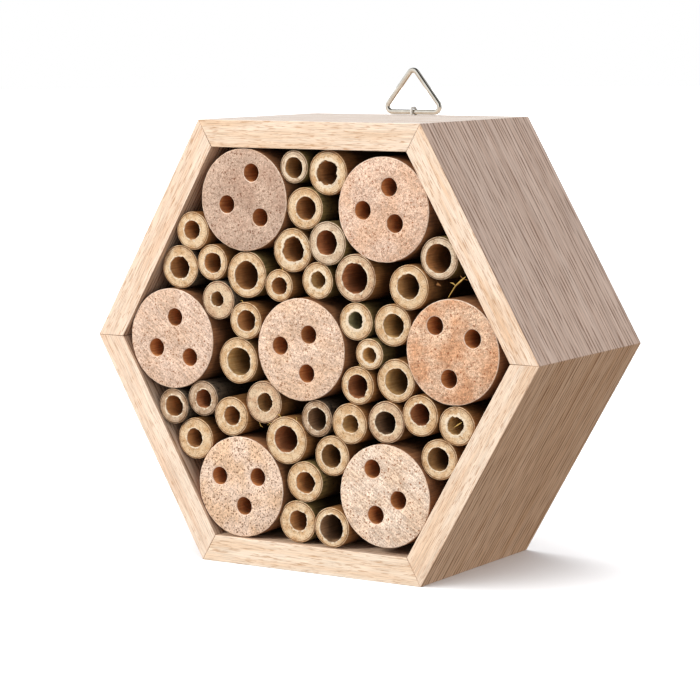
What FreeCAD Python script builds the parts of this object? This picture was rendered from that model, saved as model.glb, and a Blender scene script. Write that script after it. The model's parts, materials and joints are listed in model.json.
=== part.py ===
import FreeCAD, Part
import math
import os
from FreeCAD import Vector

# A hexagonal insect hotel: six mitred beech boards round seven drilled beech logs and a
# pack of cut bamboo canes, closed by a plywood back, with a wire ring on top to hang it by.
# Millimetres. +X right, +Z up, and the open front faces -Y. X = 0 and Y = 0 are the middle
# of the house, and Z = 0 is the underside of the bottom board.

# ---- Driving dimensions --------------------------------------------------------------

across_corners = 200.0      # the house, point to point, along X
depth = 83.0                # the boards, front to back, along Y
board_thickness = 10.5

panel_thickness = 4.0       # plywood back
panel_sink = 1.0            # how far the panel lies inside the boards' rear edges
rebate_width = 5.0          # the step in the boards that the panel rests on
panel_clearance = 0.3       # panel edge to the rebate's wall

pin_diameter = 1.2          # panel pins, two in each board
pin_length = 15.0
pin_head_diameter = 2.6
pin_head_thickness = 0.6
pin_spacing = 52.0
pin_clearance = 0.05        # round a pin or a staple leg in its hole

log_diameter = 39.5
log_recess = 1.0            # log face behind the boards' front edges
log_chamfer = 0.5
log_wall_gap = 0.3          # log or cane to the boards
nest_diameter = 7.0         # holes drilled in the logs
nest_depth = 60.0

cane_recess = 1.0           # the longest canes' ends behind the boards' front edges
cane_unevenness = 0.4       # one step in the uneven lengths of the canes
cane_node = 9.0             # solid wood at the closed end of a cane
cane_gap = 0.25             # between neighbours in the pack
cane_fill = 0.636           # share of the room round the logs that the canes take
pack_depth = 76.0           # apothem of the room that the seats below are given for

wire_diameter = 2.0         # the hanging ring
ring_base = 29.0            # the ring's triangle, corner to corner before rounding
ring_rise = 18.0
ring_bend = 2.2             # bend radius of the wire's centreline
ring_split = 0.15           # the butted ends of the wire, in the middle of its bar
ring_inset = 4.5            # bar's centre to the house's rear edge
ring_lift = 0.25            # bar to the top board

staple_diameter = 1.0
staple_cover = 0.5          # wood left between a staple leg and the panel's rebate
staple_bend = 0.7
staple_clearance = 0.2      # bar to the staple round it

# Where each log stands: the corner that it is pushed into, in degrees from +X, how far it
# has rolled along the wall, and its nest holes as (x, z) from its own centre.
CORNER_LOGS = {
    "right": (0, 2.5, [(-7.5, 9.5), (8.5, 5.5), (-1.5, -10.0)]),
    "top_right": (60, -2.5, [(2.5, 8.5), (-9.0, -0.5), (5.0, -5.0)]),
    "top_left": (120, -1.0, [(3.5, 10.5), (-8.0, -2.0), (7.5, -6.5)]),
    "left": (180, -0.5, [(1.5, 8.5), (-7.5, -4.0), (8.5, -7.0)]),
    "bottom_left": (240, 0.5, [(-10.0, 3.5), (8.0, 4.5), (1.5, -7.5)]),
    "bottom_right": (300, 2.0, [(-5.5, 10.0), (6.0, -1.0), (-4.0, -7.5)]),
}
CENTER_LOG = (-4.0, 0.5, [(3.5, 6.0), (-9.5, 1.0), (2.5, -9.0)])

# The canes, pushed in by hand between the logs: (x, z, outside diameter, bore).
CANES = {
    "upper_left": [
        (-54.0, 43.0, 15.0, 7.5),
        (-45.0, 31.5, 14.0, 8.0),
        (-61.5, 28.5, 17.0, 9.0),
        (-43.0, 17.0, 15.0, 6.0),
        (-29.5, 27.0, 18.0, 11.0),
        (-30.0, 9.5, 14.5, 8.5),
    ],
    "top": [
        (-6.5, 67.5, 12.5, 8.0),
        (8.5, 67.0, 17.0, 9.5),
        (-2.0, 54.0, 16.0, 9.0),
        (-8.0, 38.5, 17.0, 9.5),
        (9.0, 40.5, 16.5, 9.5),
        (-14.0, 24.5, 12.5, 7.0),
        (2.5, 26.5, 14.0, 6.5),
    ],
    "upper_right": [
        (20.5, 27.5, 18.0, 11.5),
        (57.0, 37.0, 16.0, 11.0),
        (44.5, 25.5, 17.0, 9.5),
        (21.0, 11.0, 14.5, 6.5),
        (36.5, 11.0, 16.0, 9.0),
        (27.5, -0.5, 12.0, 6.0),
    ],
    "lower_left": [
        (-33.5, -6.5, 18.0, 11.0),
        (-64.0, -26.5, 14.0, 8.5),
        (-48.5, -21.5, 14.0, 7.5),
        (-52.0, -36.5, 16.5, 7.5),
        (-35.5, -28.5, 15.5, 7.5),
        (-20.5, -22.5, 16.5, 7.0),
    ],
    "bottom": [
        (-9.5, -36.0, 18.5, 10.5),
        (3.0, -25.5, 14.0, 8.5),
        (9.5, -40.5, 15.5, 9.0),
        (-2.0, -52.0, 16.0, 8.5),
        (-6.5, -67.5, 16.5, 8.0),
        (10.0, -68.0, 15.5, 10.5),
    ],
    "lower_right": [
        (22.5, -13.0, 14.5, 9.0),
        (38.0, -10.0, 16.5, 10.0),
        (17.5, -27.0, 15.5, 7.0),
        (33.5, -26.0, 16.0, 9.0),
        (49.5, -23.5, 15.5, 8.5),
        (64.5, -24.5, 15.0, 7.0),
        (56.5, -38.0, 15.5, 9.0),
    ],
}

BOARDS = ["upper_right", "top", "upper_left", "lower_left", "bottom", "lower_right"]

# ---- Sizes that follow ---------------------------------------------------------------

half_turn = math.radians(30)
apothem = across_corners / 2 * math.cos(half_turn)
inner_apothem = apothem - board_thickness
center_z = apothem
front = -depth / 2
rear = depth / 2
panel_rear = rear - panel_sink
panel_front = panel_rear - panel_thickness
log_radius = log_diameter / 2

ring_y = rear - ring_inset
wire_radius = wire_diameter / 2
bar_z = center_z + apothem + ring_lift + wire_radius
staple_leg = board_thickness - rebate_width - staple_cover
staple_half = wire_radius + staple_clearance + staple_diameter / 2


# ---- The pack: logs and canes side by side -------------------------------------------

def corner_seat(angle, roll):
    """Centre of a log that lies in one corner of the room, rolled a little round it."""
    reach = (inner_apothem - log_wall_gap - log_radius) / math.cos(half_turn)
    turn = math.radians(angle + roll)
    return reach * math.cos(turn), reach * math.sin(turn)


def push_apart(first, second):
    """Moves two rods along the line between them until they clear each other."""
    dx = second[0] - first[0]
    dz = second[1] - first[1]
    apart = math.hypot(dx, dz)
    short = first[2] + second[2] + cane_gap - apart
    if short <= 0:
        return 0.0
    weight = first[2] ** 2 + second[2] ** 2
    back = short * second[2] ** 2 / weight / apart
    ahead = short * first[2] ** 2 / weight / apart
    first[0] -= dx * back
    first[1] -= dz * back
    second[0] += dx * ahead
    second[1] += dz * ahead
    return short


def push_in(rod):
    """Moves one rod off the boards that it reaches past."""
    moved = 0.0
    for side in range(6):
        turn = half_turn + side * math.radians(60)
        across = rod[0] * math.cos(turn) + rod[1] * math.sin(turn)
        over = across + rod[2] + log_wall_gap - inner_apothem
        if over > 0:
            rod[0] -= over * math.cos(turn)
            rod[1] -= over * math.sin(turn)
            moved = max(moved, over)
    return moved


def settle(rods, rounds=1500, close=0.02):
    """Nudges the rods until none overlaps another or a board. Says if they found room."""
    for _ in range(rounds):
        worst = 0.0
        for i, first in enumerate(rods):
            for second in rods[i + 1:]:
                worst = max(worst, push_apart(first, second))
        for rod in rods:
            worst = max(worst, push_in(rod))
        if worst < close:
            return True
    return False


def pack():
    """Seats of the logs as (x, z), and the canes as (x, z, outside radius, bore radius)."""
    logs = [[*corner_seat(angle, roll), log_radius] for angle, roll, _ in CORNER_LOGS.values()]
    logs.append([CENTER_LOG[0], CENTER_LOG[1], log_radius])
    canes = [cane for group in CANES.values() for cane in group]
    spread = inner_apothem / pack_depth
    room = 2 * math.sqrt(3) * inner_apothem ** 2 - len(logs) * math.pi * log_radius ** 2
    full = sum(math.pi * (cane[2] / 2) ** 2 for cane in canes)
    grade = math.sqrt(cane_fill * room / full)
    while True:
        rods = [list(log) for log in logs]
        rods += [[x * spread, z * spread, outside / 2 * grade] for x, z, outside, _ in canes]
        if settle(rods):
            break
        grade *= 0.98
    placed = []
    for rod, cane in zip(rods[len(logs):], canes):
        placed.append((rod[0], rod[1], rod[2], cane[3] / 2 * grade))
    return rods[:len(logs)], placed


# ---- Shapes --------------------------------------------------------------------------

def at(x, y, z):
    """A point given from the house's middle: x and z from the centre of the hexagon."""
    return Vector(x, y, center_z + z)


def hexagon(flat, y, length):
    """A hexagonal prism of the given apothem, from y backwards."""
    reach = flat / math.cos(half_turn)
    turns = [math.radians(60 * corner) for corner in range(7)]
    points = [at(reach * math.cos(turn), y, reach * math.sin(turn)) for turn in turns]
    return Part.Face(Part.makePolygon(points)).extrude(Vector(0, length, 0))


def rod(x, y, z, radius, length):
    """A round rod that runs backwards from y."""
    return Part.makeCylinder(radius, length, at(x, y, z), Vector(0, 1, 0))


def pin_places(side):
    """The two panel pins of one board, as (x, z)."""
    turn = half_turn + side * math.radians(60)
    out = inner_apothem + rebate_width / 2
    places = []
    for along in (-pin_spacing / 2, pin_spacing / 2):
        x = out * math.cos(turn) - along * math.sin(turn)
        z = out * math.sin(turn) + along * math.cos(turn)
        places.append((x, z))
    return places


def pin_hole(x, z):
    """The hole that one panel pin is driven into."""
    return rod(x, panel_rear - pin_length, z, pin_diameter / 2 + pin_clearance, pin_length)


def staple_path():
    """Centreline of the staple: up in front of the bar, over it and down behind it."""
    half = staple_half
    crown = bar_z + half
    foot = center_z + apothem - staple_leg
    bend = staple_bend
    slope = bend * math.sqrt(0.5)
    low_front = Vector(0, ring_y - half, foot)
    high_front = Vector(0, ring_y - half, crown - bend)
    mid_front = Vector(0, ring_y - half + bend - slope, crown - bend + slope)
    crown_front = Vector(0, ring_y - half + bend, crown)
    crown_rear = Vector(0, ring_y + half - bend, crown)
    mid_rear = Vector(0, ring_y + half - bend + slope, crown - bend + slope)
    high_rear = Vector(0, ring_y + half, crown - bend)
    low_rear = Vector(0, ring_y + half, foot)
    return Part.Wire([
        Part.makeLine(low_front, high_front),
        Part.Arc(high_front, mid_front, crown_front).toShape(),
        Part.makeLine(crown_front, crown_rear),
        Part.Arc(crown_rear, mid_rear, high_rear).toShape(),
        Part.makeLine(high_rear, low_rear),
    ])


def staple_legs():
    """The holes for the staple's legs in the top board."""
    holes = []
    for y in (ring_y - staple_half, ring_y + staple_half):
        foot = Vector(0, y, center_z + apothem - staple_leg)
        radius = staple_diameter / 2 + pin_clearance
        holes.append(Part.makeCylinder(radius, staple_leg, foot, Vector(0, 0, 1)))
    return holes


def bend_at(corner, before, after, radius):
    """Start, middle and end of the arc that rounds one corner of a wire path."""
    back = (before - corner).normalize()
    ahead = (after - corner).normalize()
    half = math.acos(back.dot(ahead)) / 2
    reach = radius / math.tan(half)
    inward = (back + ahead).normalize()
    middle = corner + inward * (radius / math.sin(half) - radius)
    return corner + back * reach, middle, corner + ahead * reach


def ring_path():
    """Centreline of the ring: from the middle of its bar, round the triangle and back."""
    left = Vector(-ring_base / 2, ring_y, bar_z)
    right = Vector(ring_base / 2, ring_y, bar_z)
    top = Vector(0, ring_y, bar_z + ring_rise)
    start = Vector(ring_split / 2, ring_y, bar_z)
    end = Vector(-ring_split / 2, ring_y, bar_z)
    edges = []
    for corner, before, after in ((right, left, top), (top, right, left), (left, top, right)):
        first, middle, last = bend_at(corner, before, after, ring_bend)
        edges.append(Part.makeLine(start, first))
        edges.append(Part.Arc(first, middle, last).toShape())
        start = last
    edges.append(Part.makeLine(start, end))
    return Part.Wire(edges)


def wire_along(path, radius):
    """Round wire bent along a path."""
    first = path.OrderedEdges[0]
    circle = Part.Circle(first.valueAt(first.FirstParameter), first.tangentAt(first.FirstParameter), radius)
    profile = Part.Wire([circle.toShape()])
    return path.makePipeShell([profile], True, False)


# ---- Pieces --------------------------------------------------------------------------

def board(side):
    """One side of the frame, mitred at both ends and stepped at the back for the panel."""
    lean = half_turn + side * math.radians(60)
    ends = [lean - half_turn, lean + half_turn]
    outer = apothem / math.cos(half_turn)
    inner = inner_apothem / math.cos(half_turn)
    points = [at(outer * math.cos(turn), front, outer * math.sin(turn)) for turn in ends]
    points += [at(inner * math.cos(turn), front, inner * math.sin(turn)) for turn in reversed(ends)]
    points.append(points[0])
    solid = Part.Face(Part.makePolygon(points)).extrude(Vector(0, depth, 0))
    solid = solid.cut(hexagon(inner_apothem + rebate_width, panel_front, depth))
    solid = solid.cut([pin_hole(x, z) for x, z in pin_places(side)])
    if BOARDS[side] == "top":
        solid = solid.cut(staple_legs())
    return solid


def back_panel():
    """The plywood back, which lies in the boards' rebate."""
    flat = inner_apothem + rebate_width - panel_clearance
    solid = hexagon(flat, panel_front, panel_thickness)
    return solid.cut([pin_hole(x, z) for side in range(6) for x, z in pin_places(side)])


def panel_pins():
    """The pins that hold the panel, each with its head on the panel's rear face."""
    pins = []
    for side in range(6):
        for x, z in pin_places(side):
            shank = rod(x, panel_rear - pin_length, z, pin_diameter / 2, pin_length)
            head = rod(x, panel_rear, z, pin_head_diameter / 2, pin_head_thickness)
            pins.append(shank.fuse(head).removeSplitter())
    return Part.makeCompound(pins)


def log(x, z, holes):
    """A length of beech dowel with its front edge eased and nest holes drilled in it."""
    start = front + log_recess
    solid = rod(x, start, z, log_radius, panel_front - start)
    edges = [edge for edge in solid.Edges if abs(edge.CenterOfMass.y - start) < 0.01]
    solid = solid.makeChamfer(log_chamfer, edges)
    nests = [rod(x + dx, start, z + dz, nest_diameter / 2, nest_depth) for dx, dz in holes]
    return solid.cut(nests)


def cane(x, z, radius, bore, unevenness):
    """A cut bamboo cane, open at the front and closed by its own node at the back."""
    start = front + cane_recess + unevenness
    length = panel_front - start
    solid = rod(x, start, z, radius, length)
    return solid.cut(rod(x, start, z, bore, length - cane_node))


def build():
    """Every piece of the house, by name."""
    pieces = {}
    for side, name in enumerate(BOARDS):
        pieces["frame_board_" + name] = board(side)
    pieces["back_panel"] = back_panel()
    pieces["panel_pins"] = panel_pins()

    logs, canes = pack()
    for place, (name, (_, _, holes)) in zip(logs, CORNER_LOGS.items()):
        pieces["log_" + name] = log(place[0], place[1], holes)
    pieces["log_center"] = log(logs[-1][0], logs[-1][1], CENTER_LOG[2])

    names = [f"cane_{group}_{n + 1}" for group in CANES for n in range(len(CANES[group]))]
    for count, (name, (x, z, radius, bore)) in enumerate(zip(names, canes)):
        steps = count * 7 % 5
        pieces[name] = cane(x, z, radius, bore, steps * cane_unevenness)

    pieces["hanging_ring"] = wire_along(ring_path(), wire_radius)
    pieces["ring_staple"] = wire_along(staple_path(), staple_diameter / 2)
    return pieces


os.makedirs("parts", exist_ok=True)
for name, shape in build().items():
    shape.exportStep("parts/" + name + ".step")
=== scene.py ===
import json
import math
import random
import bpy
from mathutils import Euler, Matrix, Vector


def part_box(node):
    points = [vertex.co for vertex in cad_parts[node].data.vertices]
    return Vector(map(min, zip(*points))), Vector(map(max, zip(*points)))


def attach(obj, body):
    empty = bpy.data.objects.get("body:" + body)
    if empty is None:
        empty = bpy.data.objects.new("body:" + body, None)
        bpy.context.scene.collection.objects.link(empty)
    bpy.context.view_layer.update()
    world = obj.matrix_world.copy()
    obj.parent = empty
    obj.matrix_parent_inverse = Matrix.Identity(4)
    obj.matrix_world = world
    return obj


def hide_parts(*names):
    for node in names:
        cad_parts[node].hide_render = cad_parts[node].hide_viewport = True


# The looks of a hexagonal insect hotel: beech boards mitred round a pack of drilled beech
# logs and sawn bamboo canes, with a nickel-plated wire ring on top. Metres, +Z up.

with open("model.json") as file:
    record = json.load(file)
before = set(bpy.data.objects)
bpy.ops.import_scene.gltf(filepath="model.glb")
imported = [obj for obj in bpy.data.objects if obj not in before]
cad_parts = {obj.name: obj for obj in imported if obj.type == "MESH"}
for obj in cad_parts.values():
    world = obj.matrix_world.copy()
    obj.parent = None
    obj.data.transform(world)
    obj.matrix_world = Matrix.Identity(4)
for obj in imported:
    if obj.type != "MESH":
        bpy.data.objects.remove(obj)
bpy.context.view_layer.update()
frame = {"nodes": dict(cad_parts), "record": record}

MM = 0.001
# From one board of the house to the next.
TURN = math.radians(60)
# Points that differ by less than this count as lying in one plane, or on one circle.
SAME_PLANE = 0.02 * MM
SAME_CIRCLE = 0.05 * MM
# An opening's box is the square inside its hole, kept this far off the wall.
OPENING_INSET = 0.17 * MM
# How far a cutter stands clear of what it cuts.
CLEAR = 1 * MM


# ---- Where things are, from the frame -------------------------------------------------

def middle(node):
    """The middle of a CAD node's box."""
    low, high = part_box(node)
    return (low + high) / 2


def nest_holes(node):
    """The drilled holes of a log, as (x, z, radius, y of the closed end)."""
    found = []
    for opening in frame["record"]["physics"]["openings"]:
        if opening["name"].startswith(node + "_nest"):
            low, high = opening["box_m"]
            x, z = (low[0] + high[0]) / 2, (low[2] + high[2]) / 2
            radius = (high[0] - low[0]) / 2 * math.sqrt(2) + OPENING_INSET
            found.append((x, z, radius, high[1]))
    return found


def cane_bore(node):
    """Radius of a cane's bore and the y where it ends, read from the CAD solid."""
    center = middle(node)
    points = [vertex.co for vertex in frame["nodes"][node].data.vertices]
    reach = [math.hypot(point.x - center.x, point.z - center.z) for point in points]
    radius = min(reach)
    end = max(point.y for point, out in zip(points, reach) if out < radius + SAME_CIRCLE)
    return radius, end


top_low, top_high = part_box("frame_board_top")
panel_low, panel_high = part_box("back_panel")
FRONT = top_low.y
REAR = top_high.y
CENTER_Z = top_high.z / 2
CENTER = Vector((0, (FRONT + REAR) / 2, CENTER_Z))


# ---- Small tools ----------------------------------------------------------------------

def deselect():
    """Nothing selected and nothing in edit mode."""
    if bpy.context.object and bpy.context.object.mode != "OBJECT":
        bpy.ops.object.mode_set(mode="OBJECT")
    bpy.ops.object.select_all(action="DESELECT")


def named(name):
    """The object that an operator has just added, under its own name, its place in its mesh."""
    piece = bpy.context.object
    piece.name = name
    piece.data.name = name
    bpy.ops.object.transform_apply(location=True, rotation=True, scale=True)
    return piece


def pick(piece, kind, wanted):
    """Selects the vertices, edges or polygons for which wanted() is true, in edit mode."""
    bpy.ops.object.mode_set(mode="OBJECT")
    mesh = piece.data
    for group in (mesh.vertices, mesh.edges, mesh.polygons):
        group.foreach_set("select", [False] * len(group))
    for element in getattr(mesh, kind):
        element.select = bool(wanted(element))
    modes = (kind == "vertices", kind == "edges", kind == "polygons")
    bpy.context.tool_settings.mesh_select_mode = modes
    bpy.ops.object.mode_set(mode="EDIT")


def finish_edit():
    """Back to object mode."""
    bpy.ops.object.mode_set(mode="OBJECT")


def apply_modifier(piece, kind, **settings):
    """Adds a modifier with its settings and applies it."""
    modifier = piece.modifiers.new(kind.lower(), kind)
    for name, value in settings.items():
        setattr(modifier, name, value)
    bpy.context.view_layer.objects.active = piece
    bpy.ops.object.modifier_apply(modifier=modifier.name)


def cut(piece, cutter):
    """Cuts one piece's shape out of another and throws the cutter away."""
    apply_modifier(piece, "BOOLEAN", object=cutter, operation="DIFFERENCE", solver="EXACT")
    bpy.data.objects.remove(cutter)


def group_of(piece, name, wanted):
    """A vertex group of the vertices for which wanted() is true."""
    group = piece.vertex_groups.new(name=name)
    group.add([v.index for v in piece.data.vertices if wanted(v.co)], 1.0, "REPLACE")
    return group.name


def lumps(size):
    """A soft cloud pattern for uneven shapes, its lumps about as large as size."""
    name = f"lumps_{size / MM:.2f}_mm"
    if name in bpy.data.textures:
        return bpy.data.textures[name]
    texture = bpy.data.textures.new(name, "CLOUDS")
    texture.noise_scale = size
    texture.noise_depth = 1
    return texture


def uneven(piece, group, size, strength):
    """Makes the vertices of a group stand unevenly, sideways and up and down.

    The two patterns differ in size, so that no vertex moves the same way in both.
    """
    for direction, scale in (("X", 1.0), ("Z", 1.17)):
        apply_modifier(
            piece, "DISPLACE", texture=lumps(size * scale), texture_coords="LOCAL",
            direction=direction, mid_level=0.5, strength=strength, vertex_group=group)


def dress(piece, *materials):
    """Gives a piece its materials."""
    piece.data.materials.clear()
    for material in materials:
        piece.data.materials.append(material)


def smooth(piece, angle=35):
    """Smooth shading with its hard edges kept."""
    deselect()
    piece.select_set(True)
    bpy.context.view_layer.objects.active = piece
    bpy.ops.object.shade_smooth_by_angle(angle=math.radians(angle))


# ---- Materials ------------------------------------------------------------------------

def color(hex_value):
    """An sRGB hex colour as the linear one that the shader reads."""
    shares = [int(hex_value[start:start + 2], 16) / 255 for start in (1, 3, 5)]
    linear = [c / 12.92 if c <= 0.04045 else ((c + 0.055) / 1.055) ** 2.4 for c in shares]
    return (*linear, 1.0)


def output_of(node):
    """A node's first output in use."""
    return next(socket for socket in node.outputs if socket.enabled)


def add(tree, kind, inputs=None, stops=(), **settings):
    """Adds a node: its settings, its inputs and, on a ramp, its stops.

    An input is a value, a socket, or another node, whose first output in use it takes.
    A stop is a place and a hex colour, or a place and a grey share.
    """
    node = tree.nodes.new("ShaderNode" + kind)
    for name, value in settings.items():
        setattr(node, name, value)
    for name, value in (inputs or {}).items():
        if isinstance(value, bpy.types.Node):
            value = output_of(value)
        if isinstance(value, bpy.types.NodeSocket):
            tree.links.new(value, node.inputs[name])
        else:
            node.inputs[name].default_value = value
    for index, (place, shade) in enumerate(stops):
        if index == len(node.color_ramp.elements):
            node.color_ramp.elements.new(place)
        element = node.color_ramp.elements[index]
        element.position = place
        element.color = color(shade) if isinstance(shade, str) else (shade, shade, shade, 1)
    return node


# How a colour Mix node lays its second colour over the first, and what its inputs are.
OVER = {"data_type": "RGBA"}
TIMES = {"data_type": "RGBA", "blend_type": "MULTIPLY"}
SHARE, UNDER, UPPER = 0, 6, 7


def new_material(name, **shader):
    """A material with its Principled shader, whose plain inputs are given here."""
    material = bpy.data.materials.new(name)
    material.use_nodes = True
    tree = material.node_tree
    tree.nodes.clear()
    bsdf = add(tree, "BsdfPrincipled", {key.replace("_", " "): v for key, v in shader.items()})
    add(tree, "OutputMaterial", {"Surface": bsdf})
    return material, tree, bsdf, add(tree, "TexCoord").outputs["Object"]


def finish_wood(tree, bsdf, grain, height, strength, distance):
    """Puts a wood's colour and its relief, at most distance high, into its shader."""
    tree.links.new(output_of(grain), bsdf.inputs["Base Color"])
    bump = add(tree, "Bump", {"Strength": strength, "Distance": distance, "Height": height})
    tree.links.new(bump.outputs[0], bsdf.inputs["Normal"])


def stretched(tree, place, length, width, turn=0.0, shift=0.0):
    """Coordinates in which a pattern is length by width millimetres, turned round Y.

    shift moves the pattern along, so that no two pieces are cut from the same wood.
    """
    turned = add(
        tree, "Mapping",
        {"Vector": place, "Rotation": (0, turn, 0), "Location": (shift, 0.6 * shift, 0)})
    across = 1 / (width * MM)
    return add(tree, "Mapping", {"Vector": turned, "Scale": (1 / (length * MM), across, across)})


def planed_edge(name, turn, seed, pale, dark, fleck):
    """Planed beech on its edge: cream, with the short brown flecks of the wood's rays.

    turn is how far the board lies round the house, so that the grain runs along it.
    """
    material, tree, bsdf, place = new_material(name, Roughness=0.6)
    shift = 0.31 * seed
    # Bands 45 by 3.5 mm, fibres 12 by 0.35 mm, ray flecks 5 by 0.35 mm.
    band = add(tree, "TexNoise", {
        "Vector": stretched(tree, place, 45, 3.5, turn, shift), "Scale": 1, "Detail": 2})
    fibre = add(tree, "TexNoise", {
        "Vector": stretched(tree, place, 12, 0.35, turn, shift), "Scale": 1, "Detail": 3,
        "Roughness": 0.62})
    ray = add(tree, "TexNoise", {
        "Vector": stretched(tree, place, 5, 0.35, turn, shift + 1), "Scale": 1, "Detail": 2,
        "Distortion": 0.3})
    ground = add(tree, "ValToRGB", {0: band}, [(0.36, dark), (0.58, pale)])
    streak = add(tree, "ValToRGB", {0: fibre}, [(0.34, 0.78), (0.50, 0.98), (0.64, 1.10)])
    share = add(tree, "ValToRGB", {0: ray}, [(0.56, 0.0), (0.66, 0.7)])
    streaked = add(tree, "Mix", {SHARE: 1.0, UNDER: ground, UPPER: streak}, **TIMES)
    grain = add(tree, "Mix", {SHARE: share, UNDER: streaked, UPPER: color(fleck)}, **OVER)
    height = add(tree, "Math", {0: fibre, 1: share}, operation="SUBTRACT")
    finish_wood(tree, bsdf, grain, height, 0.5, 0.2 * MM)
    return material


# The scale at which a Wave texture has one wave to each unit of its coordinates.
ONE_WAVE_PER_UNIT = 0.314


def planed_face(name, turn, seed, pale, dark, pore):
    """Planed beech on its face: broad soft bands under fine dark pore lines along the grain."""
    material, tree, bsdf, place = new_material(name, Roughness=0.58)
    shift = 0.47 * seed
    # Bands 90 by 5 mm, fibres 18 by 0.7 mm, and lines that break off every 12 mm or so.
    band = add(tree, "TexNoise", {
        "Vector": stretched(tree, place, 90, 5, turn, shift), "Scale": 1, "Detail": 2})
    fibre = add(tree, "TexNoise", {
        "Vector": stretched(tree, place, 18, 0.7, turn, shift), "Scale": 1, "Detail": 3,
        "Roughness": 0.65})
    # Pore lines 2.1 mm apart, coarser than real ones so that they show.
    line = add(
        tree, "TexWave", {
            "Vector": stretched(tree, place, 60, 2.1, turn, shift + 3),
            "Scale": ONE_WAVE_PER_UNIT, "Distortion": 5, "Detail": 2, "Detail Scale": 1.5},
        bands_direction="Y")
    gap = add(tree, "TexNoise", {
        "Vector": stretched(tree, place, 12, 1.6, turn, shift + 2), "Scale": 1, "Detail": 2})
    ground = add(tree, "ValToRGB", {0: band}, [(0.28, dark), (0.70, pale)])
    streak = add(tree, "ValToRGB", {0: fibre}, [(0.34, 0.80), (0.50, 0.98), (0.66, 1.08)])
    thin = add(tree, "ValToRGB", {0: line}, [(0.56, 0.0), (0.88, 0.9)])
    broken = add(tree, "ValToRGB", {0: gap}, [(0.42, 1.0), (0.58, 0.2)])
    share = add(tree, "Math", {0: thin, 1: broken}, operation="MULTIPLY")
    streaked = add(tree, "Mix", {SHARE: 1.0, UNDER: ground, UPPER: streak}, **TIMES)
    grain = add(tree, "Mix", {SHARE: share, UNDER: streaked, UPPER: color(pore)}, **OVER)
    height = add(tree, "Math", {0: fibre, 1: share}, operation="SUBTRACT")
    finish_wood(tree, bsdf, grain, height, 0.6, 0.25 * MM)
    return material


def sawn_beech(name, seed, pale, warm, speck, pores, crumb, streaks, lean):
    """Sawn beech end grain: a rough mosaic of torn flakes with brown clefts and dark pores.

    pores is the share of the pores that show, crumb how deep the clefts between the flakes
    are, streaks how strong the growth rings are, and lean their direction.
    """
    material, tree, bsdf, place = new_material(name, Roughness=0.82)
    moved = add(tree, "Mapping", {"Vector": place, "Location": (0.37 * seed, 0, 0.21 * seed)})
    # Patches of 9 mm, flakes of 0.9 mm bent by up to 0.8 mm, torn fibres of 0.6 mm,
    # pores 1.4 mm apart and growth rings 0.8 mm wide.
    patch = add(tree, "TexNoise", {"Vector": moved, "Scale": 1 / (9 * MM), "Detail": 2})
    torn = add(tree, "TexNoise", {
        "Vector": moved, "Scale": 1 / (0.6 * MM), "Detail": 2, "Roughness": 0.7,
        "Distortion": 0.8})
    bend = add(
        tree, "VectorMath", {0: torn.outputs["Color"], 1: (0.8 * MM,) * 3},
        operation="MULTIPLY")
    bent = add(tree, "VectorMath", {0: moved, 1: bend}, operation="ADD")
    flake = add(tree, "TexVoronoi", {"Vector": bent, "Scale": 1 / (0.9 * MM)})
    cleft = add(
        tree, "TexVoronoi", {"Vector": bent, "Scale": 1 / (0.9 * MM)},
        feature="DISTANCE_TO_EDGE")
    pore = add(tree, "TexVoronoi", {"Vector": moved, "Scale": 1 / (1.4 * MM)})
    ring = add(tree, "TexNoise", {
        "Vector": stretched(tree, place, 6, 0.8, lean, 0.13 * seed), "Scale": 1, "Detail": 2})
    flake_tone = add(tree, "SeparateColor", {0: flake.outputs["Color"]})
    pore_tone = add(tree, "SeparateColor", {0: pore.outputs["Color"]})
    ground = add(tree, "ValToRGB", {0: patch}, [(0.38, warm), (0.60, pale)])
    mosaic = add(
        tree, "ValToRGB", {0: flake_tone}, [(0.0, 1 - 0.7 * crumb), (0.5, 1.0), (1.0, 1.05)])
    rough = add(tree, "ValToRGB", {0: torn}, [(0.38, 0.93), (0.56, 1.0), (0.64, 1.2)])
    torn_out = add(tree, "ValToRGB", {0: torn}, [(0.36, 0.95), (0.43, 0.0)])
    rings = add(tree, "ValToRGB", {0: ring}, [(0.36, 1 - streaks), (0.60, 1 + 0.3 * streaks)])
    edge = add(tree, "ValToRGB", {0: cleft}, [(0.01, 2.4 * crumb), (0.11, 0.0)])
    hole = add(tree, "ValToRGB", {0: pore}, [(0.17, 0.95), (0.32, 0.0)])
    shown = add(tree, "ValToRGB", {0: pore_tone}, [(pores - 0.02, 1.0), (pores + 0.02, 0.0)])
    flaked = add(tree, "Mix", {SHARE: 1.0, UNDER: ground, UPPER: mosaic}, **TIMES)
    torn_up = add(tree, "Mix", {SHARE: 1.0, UNDER: flaked, UPPER: rough}, **TIMES)
    ringed = add(tree, "Mix", {SHARE: 1.0, UNDER: torn_up, UPPER: rings}, **TIMES)
    some_edges = add(tree, "Math", {0: edge, 1: patch.outputs[0]}, operation="MULTIPLY")
    holes = add(tree, "Math", {0: hole, 1: shown}, operation="MULTIPLY")
    clefts = add(tree, "Math", {0: some_edges, 1: torn_out}, operation="MAXIMUM")
    dark = add(tree, "Math", {0: clefts, 1: holes}, operation="MAXIMUM", use_clamp=True)
    grain = add(tree, "Mix", {SHARE: dark, UNDER: ringed, UPPER: color(speck)}, **OVER)
    height = add(tree, "Math", {0: torn, 1: dark}, operation="SUBTRACT")
    finish_wood(tree, bsdf, grain, height, 0.4, 0.2 * MM)
    return material


# How far in from the front the painted shade of wood and cane deepens to its darkest.
PAINTED_SHADE_DEPTH = 14 * MM
# A streak is this many times as long as it is wide.
STREAK_LENGTH = 30


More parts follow.
